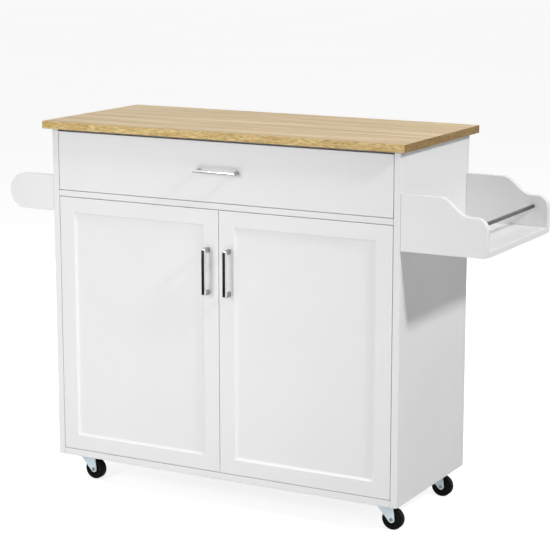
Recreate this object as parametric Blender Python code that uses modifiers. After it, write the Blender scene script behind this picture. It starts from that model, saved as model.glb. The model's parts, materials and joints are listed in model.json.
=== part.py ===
"""Kitchen island cart: a two-door cabinet with one wide drawer, a wooden worktop, a towel rack on
the left side, a spice rack on the right side and four swivel casters.

Metres, +Z up.  The origin is on the floor, under the middle of the bounding box.  The front faces -Y
and +X runs along the width, from the towel rack to the spice rack.
"""
import math

import bmesh
import bpy
from mathutils import Vector

# ---------------------------------------------------------------- driving dimensions
BODY_WIDTH = 0.890
BODY_DEPTH = 0.370
BODY_HEIGHT = 0.783
BOARD = 0.016               # carcass boards, doors and drawer front
FRONT_GAP = 0.0012          # running gap round the doors and the drawer front
TOUCH = 0.0003              # gap left between two pieces that touch
FIT = 0.00008               # radial clearance of a pin in its hole
EDGE = 0.0009               # softened edge of a laminated board

WORKTOP_THICKNESS = 0.018
WORKTOP_EDGE = 0.0012
WORKTOP_SIDE = 0.016        # overhang over each side panel
WORKTOP_FRONT = 0.018       # overhang over the front, and the same over the back

DRAWER_RAIL_Z = 0.6255      # underside of the rail between doors and drawer, above the body's underside
DRAWER_RAIL = 0.014         # thickness of that rail
DRAWER_RAIL_DEPTH = 0.070
SHADOW_GAP = 0.006          # gap between the drawer front and the worktop
BACK_PANEL = 0.009
STRETCHER_DEPTH = 0.060
SHELF_Z = 0.300
SHELF_SET_BACK = 0.030

DOOR_STILE = 0.0535         # flat frame beside the door's sunk panel
DOOR_RAIL = 0.050           # flat frame above and below it
DOOR_SLOPE = 0.011          # width of the sloped border round the sunk panel
DOOR_SINK = 0.005
HINGE_LINE_INSET = 0.0005   # the hinge line stands this far inside the door's outer front edge

HANDLE_LENGTH = 0.108
HANDLE_POST = 0.011         # length of each foot along the handle
HANDLE_WIDTH = 0.0085
HANDLE_REACH = 0.024        # outer face of the bar from the door
HANDLE_BAR = 0.0062         # thickness of the bar
HANDLE_EDGE = 0.0020
DOOR_HANDLE_Z = 0.485       # middle of a door handle above the body's underside
DOOR_HANDLE_X = 0.027       # handle centre line from the middle of the cabinet
DRAWER_HANDLE_Z = 0.711

DRAWER_SIDE = 0.012
DRAWER_BOX_Z = 0.655
DRAWER_BOX_HEIGHT = 0.090
DRAWER_BOX_LENGTH = 0.320
DRAWER_BOTTOM = 0.004
DRAWER_BOTTOM_Z = 0.008     # underside of the drawer's bottom above the underside of its sides
RUNNER_SPACE = 0.013        # between a drawer side and a side panel
RUNNER_HEIGHT = 0.028
RUNNER_SHEET = 0.0015
RUNNER_PLAY = 0.0012        # clearance between the two halves of a runner

HINGE_Z = 0.090             # hinge centres from a door's top and bottom edge
CUP_INSET = 0.022           # cup centre from the door's outer edge
CUP_RADIUS = 0.0175
CUP_DEPTH = 0.0110
CUP_WALL = 0.0012
CUP_FLANGE_RADIUS = 0.0205
CUP_FLANGE = 0.0012

RACK_BOARD = 0.015
TOWEL_REACH = 0.124         # towel bracket, out from the left side panel
TOWEL_HEIGHT = 0.083
TOWEL_Z = 0.631             # centre line of the bracket and its rod
TOWEL_ROD_RADIUS = 0.006
SPICE_REACH = 0.197         # spice rack, out from the right side panel
SPICE_TOP = 0.6935
SPICE_BOTTOM = 0.571
SPICE_FLAT = 0.088          # length of the board's flat top
SPICE_CURVE_END = 0.155     # where the board's S-curve ends, out from the side panel
SPICE_LIP = 0.6555          # height of that end
SPICE_FLOOR = 0.014
SPICE_ROD_RADIUS = 0.0045
SPICE_ROD_OUT = 0.162       # rod centre out from the side panel
SPICE_ROD_Z = 0.630
ROD_SOCKET = 0.008          # depth that a rod goes into a board

CASTER_HEIGHT = 0.065
CASTER_SIDE = 0.051         # swivel axis from the body's side
CASTER_FRONT = 0.049        # swivel axis from the body's front and back
CASTER_TRAIL = 0.021        # wheel axle, behind the swivel axis
WHEEL_RADIUS = 0.025
WHEEL_WIDTH = 0.018
AXLE_RADIUS = 0.003
AXLE_HEAD_RADIUS = 0.0046
AXLE_HEAD = 0.0016
FORK_SHEET = 0.002
FORK_INSIDE = 0.0205        # clear width between the fork's legs
PLATE_SIZE = 0.050
PLATE_THICKNESS = 0.0025
SWIVEL_RADIUS = 0.0145      # bearing housing under the plate
KINGPIN_RADIUS = 0.005
FORK_TOP = 0.0555           # top of the fork's bridge above the floor
ROUND_STEPS = 24             # sides of small round pieces
WHEEL_STEPS = 32

# ---------------------------------------------------------------- places that follow from them
LEFT = -(BODY_WIDTH + SPICE_REACH - TOWEL_REACH) / 2          # outer face of the left side panel
RIGHT = LEFT + BODY_WIDTH
CENTRE_X = (LEFT + RIGHT) / 2
FRONT = -(BODY_DEPTH + WORKTOP_FRONT - HANDLE_REACH) / 2      # front face of the doors
BACK = FRONT + BODY_DEPTH
BASE = CASTER_HEIGHT                                          # underside of the cabinet body
TOP = BASE + BODY_HEIGHT                                      # underside of the worktop
INSIDE_LEFT = LEFT + BOARD + TOUCH
INSIDE_RIGHT = RIGHT - BOARD - TOUCH
OPENING_LEFT = LEFT + BOARD + FRONT_GAP
OPENING_RIGHT = RIGHT - BOARD - FRONT_GAP
BACK_INSIDE = BACK - BACK_PANEL
RAIL_LOW = BASE + DRAWER_RAIL_Z
RAIL_HIGH = RAIL_LOW + DRAWER_RAIL
DOOR_LOW = BASE + BOARD + FRONT_GAP
DOOR_HIGH = RAIL_LOW - FRONT_GAP
HINGE_HEIGHTS = (DOOR_LOW + HINGE_Z, DOOR_HIGH - HINGE_Z)

for old in list(bpy.data.objects):
    bpy.data.objects.remove(old, do_unlink=True)

parts = bpy.data.collections.new("kitchen_island_cart")
cutters = bpy.data.collections.new("cutters")
bpy.context.scene.collection.children.link(parts)
bpy.context.scene.collection.children.link(cutters)


# ---------------------------------------------------------------- materials
def material(name, colour, roughness, metallic=0.0):
    made = bpy.data.materials.new(name)
    made.use_nodes = True
    shader = made.node_tree.nodes["Principled BSDF"]
    shader.inputs["Base Color"].default_value = (*colour, 1.0)
    shader.inputs["Roughness"].default_value = roughness
    shader.inputs["Metallic"].default_value = metallic
    return made


LAMINATE = material("white_laminate", (0.80, 0.80, 0.79), 0.40)
LACQUER = material("white_lacquer", (0.82, 0.82, 0.81), 0.35)
OAK = material("oak_worktop", (0.62, 0.47, 0.30), 0.45)
DRAWER_WHITE = material("drawer_foil", (0.74, 0.74, 0.72), 0.50)
CHROME = material("chrome", (0.80, 0.80, 0.82), 0.12, 1.0)
STEEL = material("zinc_steel", (0.60, 0.63, 0.68), 0.35, 1.0)
NICKEL = material("nickel_steel", (0.66, 0.65, 0.63), 0.30, 1.0)
BLACK_RUBBER = material("black_rubber", (0.03, 0.03, 0.03), 0.60)


# ---------------------------------------------------------------- shape helpers
def put(name, mesh, look, home=parts):
    """One object from a mesh, smooth where its faces nearly agree."""
    thing = bpy.data.objects.new(name, mesh)
    home.objects.link(thing)
    mesh.materials.append(look)
    mesh.shade_smooth()
    mesh.set_sharp_from_angle(angle=math.radians(35))
    return thing


def from_bmesh(name, shape, look, home=parts):
    bmesh.ops.recalc_face_normals(shape, faces=shape.faces)
    mesh = bpy.data.meshes.new(name)
    shape.to_mesh(mesh)
    shape.free()
    return put(name, mesh, look, home)


def soften(thing, width=EDGE, segments=1):
    bevel = thing.modifiers.new("softened_edges", "BEVEL")
    bevel.width = width
    bevel.segments = segments
    bevel.limit_method = "ANGLE"
    bevel.angle_limit = math.radians(40)


def box(name, low, high, look, edge=EDGE):
    """A board between two corners, with its origin at its middle."""
    low = Vector(low)
    high = Vector(high)
    shape = bmesh.new()
    bmesh.ops.create_cube(shape, size=1.0)
    bmesh.ops.scale(shape, vec=high - low, verts=shape.verts)
    thing = from_bmesh(name, shape, look)
    thing.location = (low + high) / 2
    if edge:
        soften(thing, edge)
    return thing


def rod(name, centre, radius, length, axis, look, home=parts, steps=ROUND_STEPS):
    """A round bar centred on a point, along X, Y or Z."""
    shape = bmesh.new()
    bmesh.ops.create_cone(shape, cap_ends=True, segments=steps, radius1=radius, radius2=radius, depth=length)
    thing = from_bmesh(name, shape, look, home)
    thing.location = centre
    thing.rotation_euler = {
        "X": (0, math.pi / 2, 0),
        "Y": (math.pi / 2, 0, 0),
        "Z": (0, 0, 0),
    }[axis]
    return thing


def extruded(name, outline, thickness, look, home=parts):
    """A flat outline in X and Z, extruded towards +Y from its own plane."""
    shape = bmesh.new()
    corners = [shape.verts.new((x, 0.0, z)) for x, z in outline]
    face = shape.faces.new(corners)
    pushed = bmesh.ops.extrude_face_region(shape, geom=[face])
    moved = [part for part in pushed["geom"] if isinstance(part, bmesh.types.BMVert)]
    bmesh.ops.translate(shape, vec=(0.0, thickness, 0.0), verts=moved)
    return from_bmesh(name, shape, look, home)


def turned(name, profile, look, closed=False, steps=ROUND_STEPS):
    """A profile of (radius, height) points turned about Z; a closed profile makes a ring."""
    mesh = bpy.data.meshes.new(name)
    edges = [(i, i + 1) for i in range(len(profile) - 1)]
    if closed:
        edges.append((len(profile) - 1, 0))
    mesh.from_pydata([(radius, 0.0, height) for radius, height in profile], edges, [])
    thing = put(name, mesh, look)
    screw = thing.modifiers.new("turned", "SCREW")
    screw.angle = math.tau
    screw.steps = steps
    screw.render_steps = steps
    screw.use_merge_vertices = True
    screw.merge_threshold = 0.00005
    screw.use_smooth_shade = True
    return thing


def arc(centre, radius, start, end, steps):
    """Points of an arc in a plane, from one angle to another, in degrees."""
    points = []
    for step in range(steps + 1):
        angle = math.radians(start + (end - start) * step / steps)
        points.append((centre[0] + radius * math.cos(angle), centre[1] + radius * math.sin(angle)))
    return points


def combine(thing, other, operation="DIFFERENCE"):
    """Cuts another object out of a piece, or joins it on."""
    other.hide_render = True
    other.display_type = "WIRE"
    boolean = thing.modifiers.new(other.name, "BOOLEAN")
    boolean.operation = operation
    boolean.solver = "EXACT"
    boolean.object = other


def cutting_box(name, low, high):
    cutter = box(name, low, high, STEEL, edge=0)
    parts.objects.unlink(cutter)
    cutters.objects.link(cutter)
    return cutter


def pivot(name, place, parent=None):
    """An empty on a joint's axis."""
    empty = bpy.data.objects.new(name, None)
    empty.empty_display_size = 0.03
    parts.objects.link(empty)
    empty.location = place
    if parent:
        hang(empty, parent)
    return empty


def hang(thing, parent):
    """Parents a piece without moving it."""
    bpy.context.view_layer.update()
    thing.parent = parent
    thing.matrix_parent_inverse = parent.matrix_world.inverted()


# ---------------------------------------------------------------- cabinet body
def carcass():
    for side, low in (("left", LEFT), ("right", RIGHT - BOARD)):
        box(f"side_panel_{side}", (low, FRONT, BASE), (low + BOARD, BACK, TOP - TOUCH), LAMINATE)
    bottom_back = BACK_INSIDE - TOUCH
    box("bottom_panel", (INSIDE_LEFT, FRONT, BASE), (INSIDE_RIGHT, bottom_back, BASE + BOARD), LAMINATE)
    box("back_panel", (INSIDE_LEFT, BACK_INSIDE, BASE), (INSIDE_RIGHT, BACK, TOP - TOUCH), LAMINATE)
    box(
        "front_rail",
        (INSIDE_LEFT, FRONT, RAIL_LOW),
        (INSIDE_RIGHT, FRONT + DRAWER_RAIL_DEPTH, RAIL_HIGH),
        LAMINATE,
    )
    front_start = FRONT + BOARD + FRONT_GAP
    back_start = BACK_INSIDE - TOUCH - STRETCHER_DEPTH
    for place, start in (("front", front_start), ("back", back_start)):
        box(
            f"top_stretcher_{place}",
            (INSIDE_LEFT, start, TOP - TOUCH - BOARD),
            (INSIDE_RIGHT, start + STRETCHER_DEPTH, TOP - TOUCH),
            LAMINATE,
        )


def worktop():
    top = box(
        "worktop",
        (LEFT - WORKTOP_SIDE, FRONT - WORKTOP_FRONT, TOP),
        (RIGHT + WORKTOP_SIDE, BACK + WORKTOP_FRONT, TOP + WORKTOP_THICKNESS),
        OAK,
        edge=0,
    )
    soften(top, WORKTOP_EDGE, 2)


def shelf():
    low = BASE + SHELF_Z
    slack = 0.001
    front = FRONT + SHELF_SET_BACK
    back = BACK_INSIDE - slack
    box("shelf", (INSIDE_LEFT + slack, front, low), (INSIDE_RIGHT - slack, back, low + BOARD), LAMINATE)
    pin_radius = 0.0035
    pin_length = 0.010
    pin_z = low - TOUCH - pin_radius
    pin_inset = 0.040
    for side, x in (("left", INSIDE_LEFT + pin_length / 2), ("right", INSIDE_RIGHT - pin_length / 2)):
        for place, y in (("front", front + pin_inset), ("back", back - pin_inset)):
            rod(f"shelf_pin_{side}_{place}", (x, y, pin_z), pin_radius, pin_length, "X", NICKEL, steps=16)


# ---------------------------------------------------------------- doors, drawer and their fittings
def handle(name, centre, upright):
    """A straight bar on two feet, lying along X or standing along Z, on a front face."""
    half = HANDLE_LENGTH / 2
    corner = 0.003
    inner_half = half - HANDLE_POST
    inner_corner = 0.003
    underside = HANDLE_REACH - HANDLE_BAR
    outline = [(-half, TOUCH)]
    outline += arc((-half + corner, HANDLE_REACH - corner), corner, 180, 90, 4)
    outline += arc((half - corner, HANDLE_REACH - corner), corner, 90, 0, 4)
    outline += [(half, TOUCH), (inner_half, TOUCH)]
    outline += arc((inner_half - inner_corner, underside - inner_corner), inner_corner, 0, 90, 3)
    outline += arc((-inner_half + inner_corner, underside - inner_corner), inner_corner, 90, 180, 3)
    outline += [(-inner_half, TOUCH)]
    bar = extruded(name, outline, HANDLE_WIDTH, CHROME)
    for corner_point in bar.data.vertices:
        corner_point.co.y -= HANDLE_WIDTH / 2
    soften(bar, HANDLE_EDGE, 2)
    bar.location = centre
    if upright:
        bar.rotation_euler = (math.pi / 2, math.pi / 2, 0)
    else:
        bar.rotation_euler = (math.pi / 2, 0, 0)
    return bar


def door(side, low_x, high_x, hinge_x):
    """A door leaf with a sunk panel, its handle and its two hinge cups."""
    turn = pivot(f"door_{side}_hinge_line", (hinge_x, FRONT + HINGE_LINE_INSET, DOOR_LOW))
    width = high_x - low_x
    height = DOOR_HIGH - DOOR_LOW
    shape = bmesh.new()
    bmesh.ops.create_cube(shape, size=1.0)
    bmesh.ops.scale(shape, vec=(width, BOARD, height), verts=shape.verts)
    bmesh.ops.bevel(
        shape, geom=shape.edges[:], offset=EDGE, segments=1, profile=0.5, affect="EDGES", offset_type="OFFSET"
    )
    front = min(shape.faces, key=lambda face: (round(face.normal.y, 3), -face.calc_area()))
    bmesh.ops.inset_region(shape, faces=[front], thickness=DOOR_RAIL - EDGE, depth=0)
    for corner in front.verts:
        corner.co.x -= math.copysign(DOOR_STILE - DOOR_RAIL, corner.co.x)
    bmesh.ops.inset_region(shape, faces=[front], thickness=DOOR_SLOPE, depth=-DOOR_SINK)
    leaf = from_bmesh(f"door_{side}", shape, LACQUER)
    leaf.location = ((low_x + high_x) / 2, FRONT + BOARD / 2, (DOOR_LOW + DOOR_HIGH) / 2)
    hang(leaf, turn)

    inward = 1 if side == "left" else -1
    cup_x = hinge_x + inward * CUP_INSET
    for place, z in zip(("low", "high"), HINGE_HEIGHTS):
        pocket = rod(
            f"door_{side}_{place}_cup_pocket",
            (cup_x, FRONT + BOARD, z),
            CUP_RADIUS + TOUCH,
            2 * (CUP_DEPTH + TOUCH),
            "Y",
            LACQUER,
            cutters,
        )
        hang(pocket, turn)
        combine(leaf, pocket)
        cup = turned(
            f"hinge_cup_{side}_{place}",
            [
                (0.0, -CUP_DEPTH + CUP_WALL),
                (CUP_RADIUS - CUP_WALL, -CUP_DEPTH + CUP_WALL),
                (CUP_RADIUS - CUP_WALL, TOUCH + CUP_FLANGE),
                (CUP_FLANGE_RADIUS, TOUCH + CUP_FLANGE),
                (CUP_FLANGE_RADIUS, TOUCH),
                (CUP_RADIUS, TOUCH),
                (CUP_RADIUS, -CUP_DEPTH),
                (0.0, -CUP_DEPTH),
            ],
            NICKEL,
        )
        cup.location = (cup_x, FRONT + BOARD, z)
        cup.rotation_euler = (-math.pi / 2, 0, 0)
        hang(cup, turn)

    handle_x = CENTRE_X - inward * DOOR_HANDLE_X
    grip = handle(f"door_handle_{side}", (handle_x, FRONT, BASE + DOOR_HANDLE_Z), upright=True)
    hang(grip, turn)


def hinge_arm(side, place, z):
    """The cabinet half of a concealed hinge: a wing plate on the side panel with an arm on it."""
    inward = 1 if side == "left" else -1
    wall = INSIDE_LEFT if side == "left" else INSIDE_RIGHT
    plate_thickness = 0.002
    plate_length = 0.040
    plate_half_height = 0.024
    arm_height = 0.010
    arm_half_width = 0.0065
    arm_start = FRONT + BOARD + 0.0045      # behind the closed door's cup flange
    arm_length = 0.060
    arm_root = 0.0005                       # the arm starts inside the plate, so the two are one body
    arm_edge = 0.0015
    plate_start = arm_start + 0.012

    def across(near, far):
        return sorted((wall + inward * near, wall + inward * far))

    plate_x = across(0, plate_thickness)
    arm_x = across(arm_root, arm_height)
    plate = box(
        f"hinge_arm_{side}_{place}",
        (plate_x[0], plate_start, z - plate_half_height),
        (plate_x[1], plate_start + plate_length, z + plate_half_height),
        NICKEL,
        edge=0,
    )
    arm = cutting_box(
        f"hinge_arm_{side}_{place}_bar",
        (arm_x[0], arm_start, z - arm_half_width),
        (arm_x[1], arm_start + arm_length, z + arm_half_width),
    )
    soften(arm, arm_edge)
    combine(plate, arm, "UNION")


def runner_outline(depth, half_height, sheet):
    """A C-section that is open towards +X."""
    return [
        (0, -half_height),
        (depth, -half_height),
        (depth, -half_height + sheet),
        (sheet, -half_height + sheet),
        (sheet, half_height - sheet),
        (depth, half_height - sheet),
        (depth, half_height),
        (0, half_height),
    ]


def runners(side, slide):
    """The two nested halves of a drawer runner."""
    inward = 1 if side == "left" else -1
    wall = INSIDE_LEFT if side == "left" else INSIDE_RIGHT
    z = BASE + DRAWER_BOX_Z + DRAWER_BOX_HEIGHT / 2
    start = FRONT + BOARD + 0.004           # clear of the drawer front's back face
    length = DRAWER_BOX_LENGTH - 0.010      # shorter than the drawer's sides
    outer_depth = 0.0095                    # how far the cabinet half stands off its side panel
    outer_half = RUNNER_HEIGHT / 2
    channel = extruded(
        f"runner_cabinet_{side}",
        [(inward * x, z_off) for x, z_off in runner_outline(outer_depth, outer_half, RUNNER_SHEET)],
        length,
        STEEL,
    )
    channel.location = (wall, start, z)

    drawer_face = LEFT + BOARD + RUNNER_SPACE if side == "left" else RIGHT - BOARD - RUNNER_SPACE
    inner_half = outer_half - RUNNER_SHEET - RUNNER_PLAY
    inner_depth = RUNNER_SPACE - RUNNER_SHEET - RUNNER_PLAY - 2 * TOUCH
    member = extruded(
        f"runner_drawer_{side}",
        [(-inward * x, z_off) for x, z_off in runner_outline(inner_depth, inner_half, RUNNER_SHEET)],
        length,
        STEEL,
    )
    member.location = (drawer_face - inward * TOUCH, start, z)
    hang(member, slide)


def drawer():
    slide = pivot("drawer_slide", (CENTRE_X, FRONT, BASE + DRAWER_BOX_Z))
    front_low = RAIL_HIGH + FRONT_GAP
    pieces = [
        box(
            "drawer_front",
            (OPENING_LEFT, FRONT, front_low),
            (OPENING_RIGHT, FRONT + BOARD, TOP - SHADOW_GAP),
            LACQUER,
        )
    ]
    low = BASE + DRAWER_BOX_Z
    high = low + DRAWER_BOX_HEIGHT
    start = FRONT + BOARD + TOUCH
    end = start + DRAWER_BOX_LENGTH
    left = LEFT + BOARD + RUNNER_SPACE
    right = RIGHT - BOARD - RUNNER_SPACE
    for side, x in (("left", left), ("right", right - DRAWER_SIDE)):
        pieces.append(
            box(f"drawer_side_{side}", (x, start, low), (x + DRAWER_SIDE, end, high), DRAWER_WHITE)
        )
    inner_left = left + DRAWER_SIDE + TOUCH
    inner_right = right - DRAWER_SIDE - TOUCH
    bottom_low = low + DRAWER_BOTTOM_Z
    bottom_high = bottom_low + DRAWER_BOTTOM
    back_low = bottom_high + TOUCH
    pieces.append(
        box("drawer_back", (inner_left, end - DRAWER_SIDE, back_low), (inner_right, end, high), DRAWER_WHITE)
    )
    pieces.append(
        box("drawer_bottom", (inner_left, start, bottom_low), (inner_right, end, bottom_high), DRAWER_WHITE)
    )
    pieces.append(handle("drawer_handle", (CENTRE_X, FRONT, BASE + DRAWER_HANDLE_Z), upright=False))
    for piece in pieces:
        hang(piece, slide)
    runners("left", slide)
    runners("right", slide)


def fronts():
    drawer()
    middle_half = FRONT_GAP / 2
    door("left", OPENING_LEFT, CENTRE_X - middle_half, OPENING_LEFT + HINGE_LINE_INSET)
    door("right", CENTRE_X + middle_half, OPENING_RIGHT, OPENING_RIGHT - HINGE_LINE_INSET)
    for side in ("left", "right"):
        for place, z in zip(("low", "high"), HINGE_HEIGHTS):
            hinge_arm(side, place, z)
    catch_width = 0.056
    catch_depth = 0.016
    catch_height = 0.014
    catch_front = FRONT + BOARD + FRONT_GAP
    catch_top = RAIL_LOW - TOUCH
    box(
        "door_catch",
        (CENTRE_X - catch_width / 2, catch_front, catch_top - catch_height),
        (CENTRE_X + catch_width / 2, catch_front + catch_depth, catch_top),
        DRAWER_WHITE,
    )


# ---------------------------------------------------------------- racks on the two sides
def rod_socket(name, x, z, rod_radius, board_y, place):
    """A cutter for a rod's blind hole, from its end out through the board's inner face."""
    margin = 0.004
    depth = ROD_SOCKET + TOUCH + margin
    if place == "front":
        y = board_y + RACK_BOARD + margin - depth / 2
    else:
        y = board_y - margin + depth / 2
    return rod(name, (x, y, z), rod_radius + FIT, depth, "Y", CHROME, cutters)


def towel_rack():
    """Two boards with round ends and a rod between them, on the left side."""
    half = TOWEL_HEIGHT / 2
    root = LEFT - TOUCH
    tip_centre = LEFT - TOWEL_REACH + half
    outline = [(root, -half), (root, half)] + arc((tip_centre, 0.0), half, 90, 270, 20)
    rod_z = BASE + TOWEL_Z
    rod_start = FRONT + RACK_BOARD - ROD_SOCKET
    rod_end = BACK - RACK_BOARD + ROD_SOCKET
    for place, y in (("front", FRONT), ("back", BACK - RACK_BOARD)):
        bracket = extruded(f"towel_bracket_{place}", outline, RACK_BOARD, LACQUER)
        bracket.location = (0, y, rod_z)
        soften(bracket)
        combine(bracket, rod_socket(f"towel_socket_{place}", tip_centre, rod_z, TOWEL_ROD_RADIUS, y, place))
    rod(
        "towel_rod",
        (tip_centre, (rod_start + rod_end) / 2, rod_z),
        TOWEL_ROD_RADIUS,
        rod_end - rod_start,
        "Y",
        CHROME,
    )


def smooth_step(start, end, count):
    """Points of an S-curve that leaves the first point level and reaches the second one level."""
    points = []
    for step in range(count + 1):
        part = step / count
        lift = (1 - math.cos(math.pi * part)) / 2
        points.append((start[0] + (end[0] - start[0]) * part, start[1] + (end[1] - start[1]) * lift))
    return points


def spice_rack():
    """Two shaped boards, a floor between them and a rail rod, on the right side."""
    root = RIGHT + TOUCH
    tip = RIGHT + SPICE_REACH
    shoulder = 0.026
    foot = 0.005
    lip_end = tip - shoulder
    outline = [(root, BASE + SPICE_BOTTOM), (root, BASE + SPICE_TOP)]
    curve_start = (RIGHT + SPICE_FLAT, BASE + SPICE_TOP)
    curve_end = (RIGHT + SPICE_CURVE_END, BASE + SPICE_LIP)
    outline += smooth_step(curve_start, curve_end, 10)
    outline += arc((lip_end, BASE + SPICE_LIP - shoulder), shoulder, 88, 0, 7)
    outline += arc((tip - foot, BASE + SPICE_BOTTOM + foot), foot, 0, -90, 3)
    outline.reverse()
    rod_x = RIGHT + SPICE_ROD_OUT
    rod_z = BASE + SPICE_ROD_Z
    rod_start = FRONT + RACK_BOARD - ROD_SOCKET
    rod_end = BACK - RACK_BOARD + ROD_SOCKET
    for place, y in (("front", FRONT), ("back", BACK - RACK_BOARD)):
        board = extruded(f"rack_board_{place}", outline, RACK_BOARD, LACQUER)
        board.location = (0, y, 0)
        soften(board)
        combine(board, rod_socket(f"rack_socket_{place}", rod_x, rod_z, SPICE_ROD_RADIUS, y, place))
    box(
        "rack_floor",
        (root, FRONT + RACK_BOARD + TOUCH, BASE + SPICE_BOTTOM),
        (tip - TOUCH, BACK - RACK_BOARD - TOUCH, BASE + SPICE_BOTTOM + SPICE_FLOOR),
        LACQUER,
    )
    rod_centre = (rod_x, (rod_start + rod_end) / 2, rod_z)
    rod("rack_rod", rod_centre, SPICE_ROD_RADIUS, rod_end - rod_start, "Y", CHROME)


# ---------------------------------------------------------------- casters
def fork_outline():
    """The side view of a fork, from its bridge down to the round boss at the axle."""
    boss = 0.0075
    bridge_front = -0.014
    bridge_back = 0.025
    chamfer = 0.0025
    skirt = FORK_TOP - chamfer
    outline = [(bridge_front + chamfer / 2, FORK_TOP), (bridge_front, skirt)]
    outline += arc((CASTER_TRAIL, WHEEL_RADIUS), boss, 222, 367, 12)
    outline += [(bridge_back, skirt), (bridge_back - chamfer, FORK_TOP)]
    return outline


def caster(name, x, y):
    """One caster: a plate with a swivel housing, a fork, an axle and a wheel."""
    swivel = pivot(f"caster_swivel_{name}", (x, y, FORK_TOP))
    axle_centre = (x + CASTER_TRAIL, y, WHEEL_RADIUS)
    spin = pivot(f"wheel_spin_{name}", axle_centre, swivel)

    plate_top = BASE - TOUCH
    half = PLATE_SIZE / 2
    plate = box(
        f"caster_plate_{name}",
        (x - half, y - half, plate_top - PLATE_THICKNESS),
        (x + half, y + half, plate_top),
        STEEL,
        edge=0,
    )
    housing_low = FORK_TOP + TOUCH
    housing_high = plate_top - PLATE_THICKNESS / 2
    housing = rod(
        f"caster_housing_{name}",
        (x, y, (housing_low + housing_high) / 2),
        SWIVEL_RADIUS,
        housing_high - housing_low,
        "Z",
        STEEL,
        cutters,
    )
    combine(plate, housing, "UNION")
    pin_top = plate_top - PLATE_THICKNESS - 0.001
    bore_low = housing_low - 0.002
    bore_high = pin_top + TOUCH
    bore = rod(
        f"caster_bore_{name}",
        (x, y, (bore_low + bore_high) / 2),
        KINGPIN_RADIUS + FIT,
        bore_high - bore_low,
        "Z",
        STEEL,
        cutters,
    )
    combine(plate, bore)

    fork_width = FORK_INSIDE + 2 * FORK_SHEET
    fork = extruded(f"caster_fork_{name}", fork_outline(), fork_width, STEEL)
    fork.location = (x, y - fork_width / 2, 0)
    beyond = 0.05                       # the cutter runs past the fork's front, back and foot
    hollow = cutting_box(
        f"caster_hollow_{name}",
        (x - beyond, y - FORK_INSIDE / 2, -beyond),
        (x + beyond, y + FORK_INSIDE / 2, FORK_TOP - FORK_SHEET),
    )
    combine(fork, hollow)
    pin_root = FORK_TOP - FORK_SHEET / 2
    kingpin = rod(
        f"caster_kingpin_{name}",
        (x, y, (pin_root + pin_top) / 2),
        KINGPIN_RADIUS,
        pin_top - pin_root,
        "Z",
        STEEL,
        cutters,
    )
    combine(fork, kingpin, "UNION")
    hole_radius = AXLE_RADIUS + FIT
    hole_length = 2 * fork_width
    axle_hole = rod(f"caster_axle_hole_{name}", axle_centre, hole_radius, hole_length, "Y", STEEL, cutters)
    combine(fork, axle_hole)

    rim = 0.001
    half_grip = fork_width / 2 + FIT
    half_head = half_grip + AXLE_HEAD / 2
    half_end = half_grip + AXLE_HEAD
    axle = turned(
        f"caster_axle_{name}",
        [
            (0.0, half_end),
            (AXLE_HEAD_RADIUS - rim, half_end),
            (AXLE_HEAD_RADIUS, half_head),
            (AXLE_HEAD_RADIUS, half_grip),
            (AXLE_RADIUS, half_grip),
            (AXLE_RADIUS, -half_grip),
            (AXLE_HEAD_RADIUS, -half_grip),
            (AXLE_HEAD_RADIUS, -half_head),
            (AXLE_HEAD_RADIUS - rim, -half_end),
            (0.0, -half_end),
        ],
        STEEL,
    )
    axle.location = axle_centre
    axle.rotation_euler = (math.pi / 2, 0, 0)

    half_width = WHEEL_WIDTH / 2
    hub_radius = 0.0085
    hub_half = FORK_INSIDE / 2 - 0.0005
    web_half = half_width - 0.0025
    web_radius = WHEEL_RADIUS - 0.008
    rim_radius = WHEEL_RADIUS - 0.0065
    shoulder_radius = WHEEL_RADIUS - 0.002
    tread_half = half_width - 0.003
    wheel = turned(
        f"caster_wheel_{name}",
        [
            (AXLE_RADIUS + FIT, hub_half),
            (hub_radius, hub_half),
            (hub_radius, web_half),
            (web_radius, web_half),
            (rim_radius, half_width),
            (shoulder_radius, half_width),
            (WHEEL_RADIUS, tread_half),
            (WHEEL_RADIUS, -tread_half),
            (shoulder_radius, -half_width),
            (rim_radius, -half_width),
            (web_radius, -web_half),
            (hub_radius, -web_half),
            (hub_radius, -hub_half),
            (AXLE_RADIUS + FIT, -hub_half),
        ],
        BLACK_RUBBER,
        closed=True,
        steps=WHEEL_STEPS,
    )
    wheel.location = axle_centre
    wheel.rotation_euler = (math.pi / 2, 0, 0)
    for piece in (fork, hollow, kingpin, axle_hole, axle):
        hang(piece, swivel)
    hang(wheel, spin)


def casters():
    for side, x in (("left", LEFT + CASTER_SIDE), ("right", RIGHT - CASTER_SIDE)):
        for place, y in (("front", FRONT + CASTER_FRONT), ("back", BACK - CASTER_FRONT)):
            caster(f"{side}_{place}", x, y)


carcass()
worktop()
shelf()
fronts()
towel_rack()
spice_rack()
casters()
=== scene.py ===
"""Looks for the kitchen island cart: fine pieces, materials, light and camera round the CAD frame."""
import json
import math

import bmesh
import bpy
from mathutils import Matrix, Vector

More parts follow.
